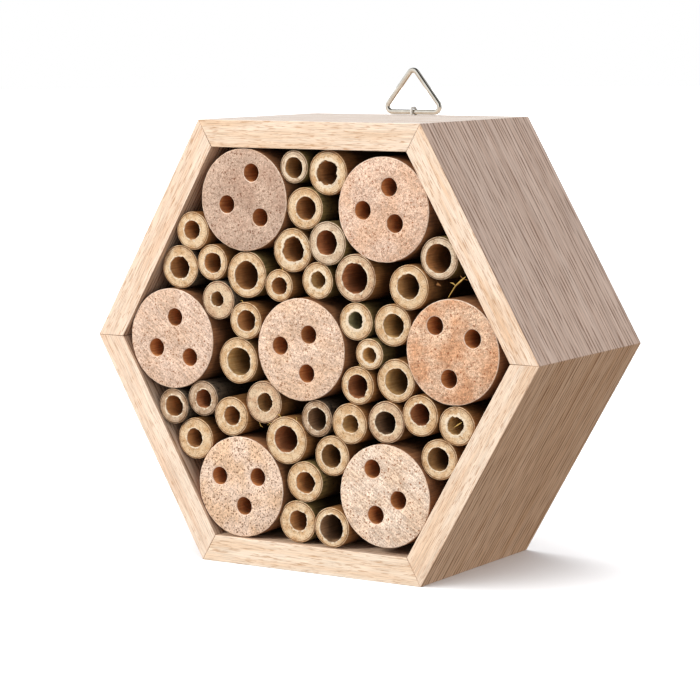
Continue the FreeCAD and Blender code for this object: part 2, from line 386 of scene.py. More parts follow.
def long_grain(name, pale, dark, spot, width, mold, roughness=0.6, mouth=1.0, deep=0.35):
    """Wood or cane seen along its length: streaks that run front to back, stains, and painted
    shade that darkens it from the front inward.

    width is a streak's width in millimetres, and mold is how much of it is spotted.
    mouth and deep are painted light and shade: the share of its colour at the front, painted
    brighter there when above one, and deeper in, painted darker for the shade that falls inside
    the pack.
    """
    material, tree, bsdf, place = new_material(name, Roughness=roughness)
    fine = 1 / (width * MM)
    along = add(
        tree, "Mapping", {"Vector": place, "Scale": (fine, fine / STREAK_LENGTH, fine)})
    streak = add(tree, "TexNoise", {"Vector": along, "Scale": 1, "Detail": 4, "Roughness": 0.6})
    # Stains of about 6 mm and mould spots of about 1.2 mm.
    stain = add(tree, "TexNoise", {"Vector": place, "Scale": 1 / (6 * MM), "Detail": 4})
    spots = add(tree, "TexNoise", {"Vector": place, "Scale": 1 / (1.2 * MM), "Detail": 3})
    ground = add(tree, "ValToRGB", {0: streak}, [(0.32, dark), (0.66, pale)])
    shade = add(tree, "ValToRGB", {0: stain}, [(0.34, 0.62), (0.60, 1.06)])
    # The more mould there is, the more of the pattern rises above the least that shows.
    least = 0.66 - 0.2 * mold
    share = add(
        tree, "ValToRGB", {0: spots}, [(least, 0.0), (least + 0.08, min(0.9, 3 * mold))])
    # Painted shade: the colour is multiplied from mouth at the front down to deep further in, as
    # shade falls deeper in the pack; a mouth above one is painted light.
    inward = add(tree, "SeparateXYZ", {0: place}).outputs["Y"]
    depth = add(
        tree, "MapRange",
        {"Value": inward, "From Min": FRONT, "From Max": FRONT + PAINTED_SHADE_DEPTH})
    painted_shade_ramp = add(tree, "ValToRGB", {0: depth}, [(0.1, mouth), (1.0, deep)])
    shaded_ground = add(tree, "Mix", {SHARE: 1.0, UNDER: ground, UPPER: painted_shade_ramp}, **TIMES)
    stained = add(tree, "Mix", {SHARE: 1.0, UNDER: shaded_ground, UPPER: shade}, **TIMES)
    grain = add(tree, "Mix", {SHARE: share, UNDER: stained, UPPER: color(spot)}, **OVER)
    finish_wood(tree, bsdf, grain, streak, 0.4, 0.2 * MM)
    return material


def sawn_cane(name, pale, warm, dot, fringe=0.3):
    """Sawn bamboo: a torn cream lining, straw flesh with fibre ends, dark lines under the skin.

    It reads how many millimetres of wall lie between a point and the bore or the skin.
    fringe is how many millimetres of the wall the torn lining takes.
    """
    material, tree, bsdf, place = new_material(name, Roughness=0.78)
    from_bore = add(tree, "Attribute", attribute_name="from_bore").outputs["Fac"]
    from_skin = add(tree, "Attribute", attribute_name="from_skin").outputs["Fac"]
    # Patches of 3 mm, a wobble of 1.2 mm, fibre ends 1.1 mm apart, fuzz of 0.5 mm.
    patch = add(tree, "TexNoise", {"Vector": place, "Scale": 1 / (3 * MM), "Detail": 3})
    wobble = add(tree, "TexNoise", {"Vector": place, "Scale": 1 / (1.2 * MM), "Detail": 2})
    fibre = add(tree, "TexVoronoi", {"Vector": place, "Scale": 1 / (1.1 * MM)})
    fuzz = add(tree, "TexNoise", {
        "Vector": place, "Scale": 1 / (0.5 * MM), "Detail": 2, "Roughness": 0.7})
    ground = add(tree, "ValToRGB", {0: patch}, [(0.38, warm), (0.60, pale)])
    rough = add(tree, "ValToRGB", {0: fuzz}, [(0.34, 0.66), (0.45, 0.98), (0.64, 1.1)])
    # A pale skin, and older, browner wood just under it.
    rind = add(tree, "ValToRGB", {0: from_skin}, [(0.2, 1.04), (0.45, 0.84), (0.9, 1.0)])
    rough_wood = add(tree, "Mix", {SHARE: 1.0, UNDER: ground, UPPER: rough}, **TIMES)
    wood = add(tree, "Mix", {SHARE: 1.0, UNDER: rough_wood, UPPER: rind}, **TIMES)
    ends = add(tree, "ValToRGB", {0: fibre}, [(0.16, 0.7), (0.30, 0.0)])
    some = add(tree, "ValToRGB", {0: patch}, [(0.42, 1.0), (0.62, 0.25)])
    some_ends = add(tree, "Math", {0: ends, 1: some}, operation="MULTIPLY")
    dotted = add(tree, "Mix", {SHARE: some_ends, UNDER: wood, UPPER: color(dot)}, **OVER)
    # Two dark lines run round, about 0.5 and 1.2 mm under the skin; the ramp spans 2 mm.
    waved = add(tree, "Math", {0: wobble, 1: 0.5, 2: from_skin}, operation="MULTIPLY_ADD")
    under = add(tree, "MapRange", {"Value": waved, "From Min": 0, "From Max": 2})
    line = add(tree, "ValToRGB", {0: under}, [
        (0.20, 0.0), (0.29, 0.9), (0.43, 0.9), (0.52, 0.0),
        (0.62, 0.0), (0.72, 0.5), (0.82, 0.0)])
    lined = add(tree, "Mix", {SHARE: line, UNDER: dotted, UPPER: color(dot)}, **OVER)
    # The lining's edge wanders about 0.4 mm to either side and fades out over 0.3 mm. The
    # wobble adds 1.5 mm on average, which 1.4 and 1.7 take off again.
    torn = add(tree, "Math", {0: wobble, 1: 3.0, 2: from_bore}, operation="MULTIPLY_ADD")
    depth = add(
        tree, "MapRange", {"Value": torn, "From Min": 1.4 + fringe, "From Max": 1.7 + fringe})
    lining = add(tree, "ValToRGB", {0: depth}, [(0.0, 0.92), (1.0, 0.0)])
    grain = add(tree, "Mix", {SHARE: lining, UNDER: lined, UPPER: color("#EEDDC2")}, **OVER)
    height = add(tree, "Math", {0: fuzz, 1: some_ends}, operation="SUBTRACT")
    finish_wood(tree, bsdf, grain, height, 0.5, 0.25 * MM)
    return material


def marked_metal(name, metallic, size, detail, tones, gloss):
    """A metal whose tone and roughness vary in soft marks of a size in millimetres."""
    material, tree, bsdf, place = new_material(name, Metallic=metallic)
    marks = add(tree, "TexNoise", {"Vector": place, "Scale": 1 / (size * MM), "Detail": detail})
    tone = add(tree, "ValToRGB", {0: marks}, [(0.35, tones[0]), (0.65, tones[1])])
    dullness = add(tree, "ValToRGB", {0: marks}, [(0.3, gloss[0]), (0.7, gloss[1])])
    tree.links.new(output_of(tone), bsdf.inputs["Base Color"])
    tree.links.new(output_of(dullness), bsdf.inputs["Roughness"])
    return material


def plated_wire():
    """Nickel-plated steel wire, drawn and bent: bright, with faint marks of handling."""
    return marked_metal("nickel_plated_wire", 1.0, 3, 4, ("#D2CCC0", "#E6E1D6"), (0.07, 0.13))


def galvanized_wire():
    """Galvanised steel wire of the staple: pale grey, with the dull white bloom of old zinc."""
    return marked_metal("galvanized_wire", 0.4, 0.8, 3, ("#D4D2CC", "#E8E6E0"), (0.5, 0.62))


def bright_pin():
    """Bright steel of the panel pins' heads, a little dulled."""
    return marked_metal("bright_steel_pin", 1.0, 0.6, 3, ("#8E8C88", "#B5B3AE"), (0.3, 0.5))


def plywood_face():
    """Rotary-cut birch plywood: wide wavy figure with fine pores along the grain."""
    material, tree, bsdf, place = new_material("birch_plywood", Roughness=0.65)
    # The grain is upright: its figure is 62.5 by 9.1 mm, its pores are 5 by 0.4 mm.
    wide = 1 / (9.09 * MM)
    narrow = 1 / (0.4 * MM)
    broad = add(
        tree, "Mapping", {"Vector": place, "Scale": (wide, wide, 1 / (62.5 * MM))})
    fine = add(
        tree, "Mapping", {"Vector": place, "Scale": (narrow, narrow, 1 / (5 * MM))})
    figure = add(tree, "TexNoise", {
        "Vector": broad, "Scale": 1, "Detail": 4, "Roughness": 0.5, "Distortion": 1.2})
    pore = add(tree, "TexNoise", {"Vector": fine, "Scale": 1, "Detail": 2})
    ground = add(
        tree, "ValToRGB", {0: figure}, [(0.30, "#CE9E74"), (0.48, "#E4BE94"), (0.66, "#F0D6B4")])
    shade = add(tree, "ValToRGB", {0: pore}, [(0.32, 0.78), (0.55, 1.0)])
    grain = add(tree, "Mix", {SHARE: 1.0, UNDER: ground, UPPER: shade}, **TIMES)
    finish_wood(tree, bsdf, grain, pore, 0.3, 0.1 * MM)
    return material


# ---- The frame boards -----------------------------------------------------------------

# Each board: how far round it lies, its wood's seed, its edge's and its face's colours. The top
# face is painted lighter for the light that falls on it from above, and the lower-right face
# darker and browner for the shade that it lies in.
BOARD_WOOD_AND_LIGHT = {
    "top": (0, 1.0, ("#F6E0C8", "#E9CBAC", "#C08F63"), ("#FFF6EC", "#F8E8D8", "#CCAA8C")),
    "upper_left": (1, 2.0, ("#F8E0C8", "#EDCDB0", "#C2936A"), ("#E6CAB0", "#D4B090", "#9A7454")),
    "lower_left": (2, 3.0, ("#F8E2CB", "#EDCFB4", "#C4976E"), ("#E6CAB0", "#D4B090", "#9A7454")),
    "bottom": (3, 4.0, ("#FAE6CE", "#F0D4B6", "#C4976C"), ("#E6CAB0", "#D4B090", "#9A7454")),
    "lower_right": (4, 5.0, ("#F8E2CA", "#EED0B2", "#C0906A"), ("#E8C8A8", "#D0AA86", "#8A6244")),
    "upper_right": (5, 6.0, ("#F9E3CC", "#EBC8A6", "#BF8E62"), ("#E8CEBA", "#D6B8A2", "#94725C")),
}
JOINT_GAP = 0.08 * MM
EASED_EDGE = 0.22 * MM
# Between the back panel's edge and the step that it lies in.
PANEL_GAP = 0.3 * MM


def plank():
    """The top board: a plank cut to its mitres and stepped at the back for the panel."""
    deselect()
    size = top_high - top_low
    bpy.ops.mesh.primitive_cube_add(size=1, location=(top_low + top_high) / 2, scale=size)
    board = named("plank")
    for side in (-1, 1):
        across = Vector((side * math.sin(TURN), 0, -math.cos(TURN)))
        corner = Vector((side * top_high.x, 0, top_high.z)) - across * JOINT_GAP
        pick(board, "polygons", lambda face: True)
        bpy.ops.mesh.bisect(plane_co=corner, plane_no=across, use_fill=True, clear_outer=True)
    finish_edit()
    step_top = panel_high.z + PANEL_GAP
    step_low = top_low.z - CLEAR
    deselect()
    bpy.ops.mesh.primitive_cube_add(
        size=1, location=(0, (panel_low.y + REAR) / 2 + CLEAR, (step_top + step_low) / 2),
        scale=(3 * size.x, REAR - panel_low.y + 2 * CLEAR, step_top - step_low))
    cut(board, named("rebate_cutter"))
    apply_modifier(board, "BEVEL", width=EASED_EDGE, segments=2, limit_method="ANGLE")
    return board


def frame_boards():
    """Six copies of one plank, each turned to its side and given its own wood."""
    pattern = plank()
    for name, (turns, seed, edge, face) in BOARD_WOOD_AND_LIGHT.items():
        node = "frame_board_" + name
        board = bpy.data.objects.new("beech_board_" + name, pattern.data.copy())
        bpy.context.scene.collection.objects.link(board)
        axis = Vector((0, 0, CENTER_Z))
        round_house = Matrix.Rotation(-turns * TURN, 4, "Y")
        board.data.transform(Matrix.Translation(axis) @ round_house @ Matrix.Translation(-axis))
        dress(
            board, planed_edge("beech_edge_" + name, turns * TURN, seed, *edge),
            planed_face("beech_face_" + name, turns * TURN, seed, *face))
        for polygon in board.data.polygons:
            polygon.material_index = 0 if abs(polygon.normal.y) > 0.5 else 1
        smooth(board, 20)
        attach(board, "house")
        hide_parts(node)
    bpy.data.objects.remove(pattern)


# ---- The logs -------------------------------------------------------------------------

# Each log's end: seed, two tones, speck, then how strong its pores, clefts and rings are,
# and which way the rings lean.
LOG_WOOD = {
    "top_left": (1.0, "#DABEA8", "#C8A892", "#7E543A", 0.35, 0.30, 0.08, 0.3),
    "top_right": (2.0, "#FADCC4", "#F0CAAC", "#9C6038", 0.20, 0.40, 0.06, 0.9),
    "left": (3.0, "#F6DAC4", "#EACAB0", "#98643E", 0.25, 0.26, 0.22, -0.7),
    "center": (4.0, "#FCE0C8", "#F2D0B2", "#98643C", 0.25, 0.32, 0.18, -0.2),
    "right": (5.0, "#F6D4B4", "#E4B088", "#9C5A32", 0.30, 0.40, 0.16, 0.2),
    "bottom_left": (6.0, "#FCE0C8", "#F0CCAA", "#7C5434", 0.70, 0.26, 0.08, 0.9),
    "bottom_right": (7.0, "#FFEAD4", "#F8DCC0", "#9E6640", 0.40, 0.26, 0.24, -0.55),
}


LOG_CORNERS = 128
NEST_CORNERS = 48
# How far the saw and the drill broke the edges, and how deep their rims are torn.
LOG_BEVEL = 0.3 * MM
NEST_BEVEL = 0.28 * MM
RIM_DEPTH = 0.45 * MM
# A log's materials, in their order on the piece.
SAWN_END, TURNED_SIDE, NEST_WALL, TORN_RIM = range(4)


def rod(name, radius, start, end, x, z, corners):
    """A round bar that runs front to back, to be shaped or cut with."""
    deselect()
    bpy.ops.mesh.primitive_cylinder_add(
        vertices=corners, radius=radius, depth=end - start, location=(x, (start + end) / 2, z),
        rotation=(math.radians(90), 0, 0))
    return named(name)


def on_circle(mesh, edge, x, z, radius, y):
    """Whether an edge lies on a circle round (x, z) at the given y."""
    for index in edge.vertices:
        point = mesh.vertices[index].co
        if abs(point.y - y) > SAME_PLANE:
            return False
        if abs(math.hypot(point.x - x, point.z - z) - radius) > SAME_CIRCLE:
            return False
    return True


def log_wood_at(face, holes):
    """Which of a log's materials a face gets, by where it lies and how far it faces front."""
    facing = face.normal.y
    in_nest = any(
        math.hypot(face.center.x - x, face.center.z - z) < hole + SAME_CIRCLE
        for x, z, hole, _ in holes)
    if in_nest and facing > -0.15:
        return NEST_WALL
    if facing < -0.97:
        return SAWN_END
    return TORN_RIM if facing < -0.15 else TURNED_SIDE


def drilled_log(name, side_wood, nest_wood, rim_wood):
    """A dowel with its nest holes, its sawn face fuzzy round each hole and at its edge."""
    node = "log_" + name
    low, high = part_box(node)
    center = (low + high) / 2
    radius = (high.x - low.x) / 2
    piece = rod("beech_" + node, radius, low.y, high.y, center.x, center.z, LOG_CORNERS)
    holes = nest_holes(node)
    for x, z, hole, end in holes:
        cut(piece, rod("drill", hole, low.y - 2 * CLEAR, end, x, z, NEST_CORNERS))
    mesh = piece.data
    pick(piece, "edges", lambda edge: on_circle(mesh, edge, center.x, center.z, radius, low.y))
    bpy.ops.mesh.bevel(offset=LOG_BEVEL, segments=2, affect="EDGES")
    for x, z, hole, _ in holes:
        pick(piece, "edges", lambda edge: on_circle(mesh, edge, x, z, hole, low.y))
        bpy.ops.mesh.bevel(offset=NEST_BEVEL, segments=2, affect="EDGES")
    finish_edit()
    end_wood = sawn_beech("sawn_beech_" + name, *LOG_WOOD[name])
    dress(piece, end_wood, side_wood, nest_wood, rim_wood)
    for face in mesh.polygons:
        face.material_index = log_wood_at(face, holes)
    rims = group_of(
        piece, "rims", lambda co: low.y - 0.1 * MM < co.y < low.y + RIM_DEPTH)
    uneven(piece, rims, 1.3 * MM, 0.22 * MM)
    smooth(piece, 50)
    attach(piece, "house")
    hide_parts(node)


def logs():
    """The seven drilled logs."""
    # The turned sides are painted a darker, warmer brown than the beech of the log ends, for the
    # shade between the logs and canes, and darker still inward.
    side = long_grain("turned_beech_side", "#AC7850", "#84583A", "#4A2C1A", 0.6, 0.05)
    # The nest walls are painted brighter at the mouth (1.2) and darker inward (0.5), for light
    # that reaches only the front of a hole.
    nest = long_grain(
        "drilled_beech", "#CC8E58", "#AC6C3E", "#6E4022", 0.5, 0.05, 0.75, 1.2, 0.5)
    rim = planed_edge("torn_beech_rim", 0, 9.0, "#F4DCC6", "#E6C6A8", "#C89C78")
    for name in LOG_WOOD:
        drilled_log(name, side, nest, rim)


# ---- The canes ------------------------------------------------------------------------

# How each cane was cut and has weathered: flesh, skin, bore, and how torn its bore's edge is.
CANE_LOOKS = {
    "upper_left": [
        "straw tan brown 1", "straw tan brown 2", "straw gray brown 2", "rosy gray olive 3",
        "straw olive brown 1", "straw tan brown 1"],
    "top": [
        "blond olive olive 1", "ragged tan brown 5", "straw olive brown 1", "ragged tan brown 3",
        "blond olive red 1", "straw tan brown 1", "ragged olive tan 4"],
    "upper_right": [
        "rosy tan red 2", "blond olive brown 1", "straw tan olive 1", "ragged olive green 3",
        "straw tan tan 1", "ragged olive tan 2"],
    "lower_left": [
        "straw plain tan 1", "gray gray brown 1", "gray gray red 1", "straw tan brown 1",
        "straw tan brown 1", "rosy tan olive 3"],
    "bottom": [
        "straw tan red 1", "gray gray dark 2", "straw tan olive 1", "straw olive brown 2",
        "straw olive brown 2", "straw tan dark 1"],
    "lower_right": [
        "straw tan red 2", "straw tan tan 1", "straw tan tan 2", "rosy tan dark 1",
        "straw tan red 2", "ragged tan tan 4", "straw tan olive 1"],
}
CANE_CORNERS = 72
# The torn lip round a bore, and how far the bore lies off the middle, as shares of the wall.
LIP_SHARE = 0.16
OFF_CENTER_SHARE = 0.12


def tube(name, x, z, rings, corners):
    """A lathe-like shell: a circle drawn out ring by ring, as (radius, y), closed at both ends."""
    deselect()
    radius, start = rings[0]
    bpy.ops.mesh.primitive_circle_add(
        vertices=corners, radius=radius, location=(x, start, z), rotation=(math.radians(90), 0, 0),
        fill_type="NGON")
    piece = named(name)
    pick(piece, "edges", lambda edge: True)
    for (old, before), (new, after) in zip(rings, rings[1:]):
        bpy.ops.mesh.extrude_edges_move(
            TRANSFORM_OT_translate={"value": (0, after - before, 0)})
        share = new / old
        bpy.ops.transform.resize(value=(share, 1, share), center_override=(x, after, z))
    bpy.ops.mesh.edge_face_add()
    bpy.ops.mesh.select_all(action="SELECT")
    bpy.ops.mesh.normals_make_consistent(inside=False)
    finish_edit()
    return piece


def wall_depths(piece, x, z, bore, outer):
    """Stores how many millimetres of wall lie inside and outside each vertex."""
    reach = [math.hypot(vertex.co.x - x, vertex.co.z - z) for vertex in piece.data.vertices]
    for name, depths in (
            ("from_bore", [(out - bore) / MM for out in reach]),
            ("from_skin", [(outer - out) / MM for out in reach])):
        piece.data.attributes.new(name, "FLOAT", "POINT").data.foreach_set("value", depths)


def cane_rings(outer, bore, lip, face, rear, bore_end):
    """A cane's outline: along its skin, over its sawn face and torn lip, and into its bore."""
    return [
        (outer, rear), (outer, rear - 25 * MM), (outer, face + 20 * MM),
        (outer, face + 7 * MM), (outer, face + 2.5 * MM), (outer, face + 0.8 * MM),
        (outer - 0.03 * MM, face + 0.2 * MM), (outer - 0.18 * MM, face + 0.02 * MM),
        (outer - 0.45 * MM, face), (outer - 0.45 * (outer - bore), face),
        (bore + 2 * lip, face), (bore + lip, face), (bore + 0.5 * lip, face - 0.12 * MM),
        (bore + 0.1 * lip, face - 0.08 * MM), (bore, face + 0.2 * MM),
        (bore, face + 1.0 * MM), (bore, face + 3 * MM), (bore, face + 10 * MM),
        (bore, bore_end),
    ]


def tear(piece, x, z, outer, bore, bore_end, torn):
    """Makes a cane's skin uneven, and its bore ragged: torn is how much, from 1 to 5."""
    wall = outer - bore
    skin = group_of(
        piece, "outside", lambda co: math.hypot(co.x - x, co.z - z) > outer - 0.3 * wall)
    edge = bore + 1.2 * LIP_SHARE * wall
    inner = group_of(
        piece, "bore", lambda co: math.hypot(co.x - x, co.z - z) < edge
        and co.y < bore_end - 5 * MM)
    uneven(piece, skin, 7 * MM, 0.25 * MM)
    uneven(piece, inner, 3.2 * MM, (0.3 + 0.25 * torn) * MM)
    uneven(piece, inner, 0.9 * MM, (0.2 + 0.16 * torn) * MM)


def cut_cane(node, look, woods, rng):
    """One bamboo cane, sawn off, with a bevelled skin and a torn lip round its bore."""
    low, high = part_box(node)
    x, z = (low.x + high.x) / 2, (low.z + high.z) / 2
    face = low.y
    outer = (high.x - low.x) / 2
    bore, bore_end = cane_bore(node)
    wall = outer - bore
    lip = LIP_SHARE * wall
    flesh, skin, hollow, torn = look.split()
    torn = int(torn)
    rings = cane_rings(outer, bore, lip, face, high.y, bore_end)
    piece = tube("bamboo_" + node, x, z, rings, CANE_CORNERS)
    wall_depths(piece, x, z, bore, outer)
    # No cane's bore is quite in its middle.
    aside = Vector((OFF_CENTER_SHARE * wall, 0, 0))
    off_center = Matrix.Rotation(rng.uniform(0, math.tau), 3, "Y") @ aside
    pick(piece, "vertices", lambda v: math.hypot(v.co.x - x, v.co.z - z) < bore + 2.1 * lip)
    bpy.ops.transform.translate(value=off_center)
    finish_edit()
    dress(piece, woods["flesh"][flesh], woods["skin"][skin], woods["bore"][hollow])
    for polygon in piece.data.polygons:
        out = math.hypot(polygon.center.x - x, polygon.center.z - z)
        if polygon.center.y > face + 0.12 * MM:
            polygon.material_index = 1 if out > (outer + bore) / 2 else 2
    tear(piece, x, z, outer, bore, bore_end, torn)
    pick(piece, "vertices", lambda v: v.co.y < face - 0.02 * MM)
    bpy.ops.transform.vertex_random(offset=(0.07 + 0.03 * torn) * MM, seed=rng.randrange(1000))
    # No cane is quite round.
    oval = 1 + rng.uniform(-0.012, 0.012)
    bpy.ops.mesh.select_all(action="SELECT")
    bpy.ops.transform.resize(value=(oval, 1, 1 / oval), center_override=(x, face, z))
    finish_edit()
    smooth(piece, 60)
    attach(piece, "house")
    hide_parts(node)


def bamboo():
    """The few kinds of bamboo that the canes share: cut flesh, weathered skin and bore."""
    # The bores are painted brighter at the mouth and darker inward, and the skins darker inward,
    # for light that reaches only the fronts between the canes.
    hollow = {"mouth": 1.4, "deep": 0.4}
    return {
        "flesh": {
            "straw": sawn_cane("sawn_bamboo_straw", "#E4C9A4", "#CEA87C", "#805A38"),
            "blond": sawn_cane("sawn_bamboo_blond", "#E0CAAE", "#CAAE90", "#745A40"),
            "rosy": sawn_cane("sawn_bamboo_rosy", "#DEC4A2", "#C8A482", "#6E4C34"),
            "ragged": sawn_cane("sawn_bamboo_ragged", "#E4CAA6", "#CEA87C", "#805A38", 1.0),
            "gray": sawn_cane("sawn_bamboo_gray", "#CAB094", "#AC8C6C", "#58402C"),
        },
        "skin": {
            "tan": long_grain("bamboo_skin_tan", "#B88450", "#8A5E34", "#3A2412", 0.6, 0.15),
            "olive": long_grain("bamboo_skin_olive", "#948050", "#685830", "#2A2214", 0.6, 0.25),
            "plain": long_grain("bamboo_skin_plain", "#C8A26C", "#9E7A4A", "#524028", 0.6, 0.1),
            "gray": long_grain("bamboo_skin_gray", "#847460", "#524638", "#181410", 0.6, 0.55),
        },
        "bore": {
            "brown": long_grain(
                "bamboo_bore_brown", "#CE9C68", "#AC7A4A", "#6E4A2C", 0.6, 0.05, **hollow),
            "red": long_grain(
                "bamboo_bore_red", "#C68C60", "#A26A42", "#623A22", 0.6, 0.05, **hollow),
            "tan": long_grain(
                "bamboo_bore_tan", "#D8B680", "#BC945E", "#7A5A38", 0.6, 0.05, **hollow),
            "olive": long_grain(
                "bamboo_bore_olive", "#C49A68", "#A27A4C", "#5C462A", 0.6, 0.05, **hollow),
            "green": long_grain(
                "bamboo_bore_green", "#A69E78", "#847C5A", "#4E4832", 0.6, 0.05, **hollow),
            "dark": long_grain(
                "bamboo_bore_dark", "#A48262", "#806248", "#4A3626", 0.6, 0.05, **hollow),
        },
    }


def canes():
    """All the canes."""
    rng = random.Random(38)
    woods = bamboo()
    for group, looks in CANE_LOOKS.items():
        for count, look in enumerate(looks):
            cut_cane(f"cane_{group}_{count + 1}", look, woods, rng)


# ---- The ring, its staple and the back ------------------------------------------------

WIRE_CORNERS = 24
BEND_STEPS = 10
RING_BEND = 2.2 * MM
STAPLE_BEND = 0.7 * MM
# Half the gap of the butt joint in the ring's bar.
HALF_SPLIT = 0.075 * MM
# The body that each wire rides on.
RIDES_ON = {"hanging_ring": "ring", "ring_staple": "house"}


def wire_end(name, radius, start, heading):
    """The round flat end of a wire, facing back along its heading, selected in edit mode."""
    deselect()
    bpy.ops.mesh.primitive_circle_add(
        vertices=WIRE_CORNERS, radius=radius, location=start, fill_type="NGON",
        rotation=Vector(heading).to_track_quat("Z", "Y").to_euler())
    piece = named(name)
    pick(piece, "polygons", lambda face: True)
    return piece


def run(step):
    """Draws the selected end of a wire straight out."""
    bpy.ops.mesh.extrude_region_move(TRANSFORM_OT_translate={"value": step})


def bend(center, axis, angle):
    """Draws the selected end of a wire round a bend; spin turns against the axis."""
    bpy.ops.mesh.spin(steps=BEND_STEPS, angle=angle, center=center, axis=axis)


def finish_wire(piece, node):
    """Closes a wire's surface and puts it in its CAD node's place."""
    bpy.ops.mesh.select_all(action="SELECT")
    bpy.ops.mesh.remove_doubles(threshold=0.001 * MM)
    bpy.ops.mesh.normals_make_consistent(inside=False)
    finish_edit()
    smooth(piece, 50)
    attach(piece, RIDES_ON[node])
    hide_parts(node)


def hanging_ring(wire):
    """The triangle of wire: along its bar, round three bends and back to where it started."""
    low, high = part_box("hanging_ring")
    radius = (high.y - low.y) / 2
    y = (low.y + high.y) / 2
    bar = low.z + radius
    corner = Vector((high.x - radius - RING_BEND, y, bar + RING_BEND))
    crown = Vector((0, y, high.z - radius - RING_BEND))
    side = crown - corner
    slope = math.atan2(side.z, -side.x)
    left = Vector((-1, 1, 1))
    piece = wire_end("nickel_hanging_ring", radius, (HALF_SPLIT, y, bar), (1, 0, 0))
    run((corner.x - HALF_SPLIT, 0, 0))
    bend(corner, (0, 1, 0), math.pi - slope)
    run(side)
    bend(crown, (0, 1, 0), 2 * slope)
    run((side.x, 0, -side.z))
    bend(corner * left, (0, 1, 0), math.pi - slope)
    run((corner.x - HALF_SPLIT, 0, 0))
    dress(piece, wire)
    finish_wire(piece, "hanging_ring")


def ring_staple(wire):
    """The staple over the ring's bar: up, over and down into the board."""
    low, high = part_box("ring_staple")
    radius = (high.x - low.x) / 2
    front = low.y + radius
    rear = high.y - radius
    crown = high.z - radius
    bend_z = crown - STAPLE_BEND
    piece = wire_end("wire_staple", radius, (0, front, low.z), (0, 0, 1))
    run((0, 0, bend_z - low.z))
    bend((0, front + STAPLE_BEND, bend_z), (1, 0, 0), math.pi / 2)
    run((0, rear - front - 2 * STAPLE_BEND, 0))
    bend((0, rear - STAPLE_BEND, bend_z), (1, 0, 0), math.pi / 2)
    run((0, 0, low.z - bend_z))
    dress(piece, wire)
    finish_wire(piece, "ring_staple")


def metal_and_back():
    """The wire ring and its staple, the pins' heads and the plywood back."""
    hanging_ring(plated_wire())
    ring_staple(galvanized_wire())
    dress(frame["nodes"]["panel_pins"], bright_pin())
    dress(frame["nodes"]["back_panel"], plywood_face())


# ---- Loose straw ----------------------------------------------------------------------

# Fibres that stand off a cane: the cane, degrees round it, and length in millimetres.
FRAYS = [
    ("bottom_1", 105, 2.4), ("bottom_1", 140, 1.8), ("bottom_1", 60, 1.6),
    ("lower_left_6", 250, 2.6), ("lower_left_6", 300, 1.8), ("lower_left_5", 275, 1.6),
    ("upper_left_6", 100, 1.4), ("top_6", 75, 1.5), ("upper_right_4", 200, 1.3),
    ("bottom_5", 170, 1.4), ("lower_right_1", 80, 1.3),
]


# A sliver's width at its first point, and how it changes at the next, the others and the last.
SLIVER_ROOT, SLIVER_SWELL, SLIVER_TAPER, SLIVER_TIP = 0.4, 2.2, 0.85, 0.4


def moved(point, x, y, z):
    """A point moved by millimetres."""
    return point + Vector((x, y, z)) * MM


def sliver(name, width, material, *points):
    """A splinter or a bit of straw drawn out along its points, thin at both ends."""
    deselect()
    way = points[1] - points[0]
    bpy.ops.mesh.primitive_circle_add(
        vertices=6, radius=width / 2, location=points[0], fill_type="NGON",
        rotation=way.to_track_quat("Z", "Y").to_euler())
    piece = named(name)
    pick(piece, "polygons", lambda face: True)
    bpy.ops.transform.resize(value=(SLIVER_ROOT,) * 3, center_override=points[0])
    for index, (before, after) in enumerate(zip(points, points[1:])):
        bpy.ops.mesh.extrude_region_move(TRANSFORM_OT_translate={"value": after - before})
        size = SLIVER_SWELL if index == 0 else SLIVER_TAPER
        if index == len(points) - 2:
            size = SLIVER_TIP
        bpy.ops.transform.resize(value=(size,) * 3, center_override=after)
    bpy.ops.mesh.select_all(action="SELECT")
    bpy.ops.mesh.normals_make_consistent(inside=False)
    finish_edit()
    smooth(piece, 60)
    dress(piece, material)
    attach(piece, "house")


def straw_between_canes(yellow, brown):
    """A stalk with a leaf and a twig, between two canes, the right-hand log and its board."""
    cane_low, cane_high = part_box("cane_upper_right_2")
    log_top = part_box("log_right")[1].z
    top = moved(Vector((cane_high.x, cane_low.y, cane_low.z)), 2.5, 1.2, 1.6)
    foot = moved(Vector((cane_high.x, cane_low.y, log_top)), -5.0, 1.6, 0.3)
    knee = moved((top + foot) / 2, -0.4, -0.3, 0.5)
    sliver("straw_stalk", 0.8 * MM, yellow, top, top * 0.6 + knee * 0.4, knee, foot)
    tip = moved(knee, -2.4, 0.3, 1.0)
    sliver("straw_leaf", 0.6 * MM, yellow, knee, moved((knee + tip) / 2, 0, 0, 0.3), tip)
    sliver(
        "straw_twig", 0.45 * MM, brown, moved(top, 0.6, 0.4, -1.2),
        moved(top, -1.2, 0.5, -0.9), moved(top, -2.6, 0.6, 0.2))


def bore_splinter(yellow):
    """A splinter across the bore of a cane."""
    low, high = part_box("cane_lower_right_6")
    across = moved(Vector(((low.x + high.x) / 2, low.y, (low.z + high.z) / 2)), 0, 0.3, 0)
    sliver(
        "bore_splinter", 0.5 * MM, yellow, moved(across, 1.9, 0, 1.5),
        moved(across, 0.6, 0.1, 0.7), moved(across, -1.5, 0.3, -0.6))


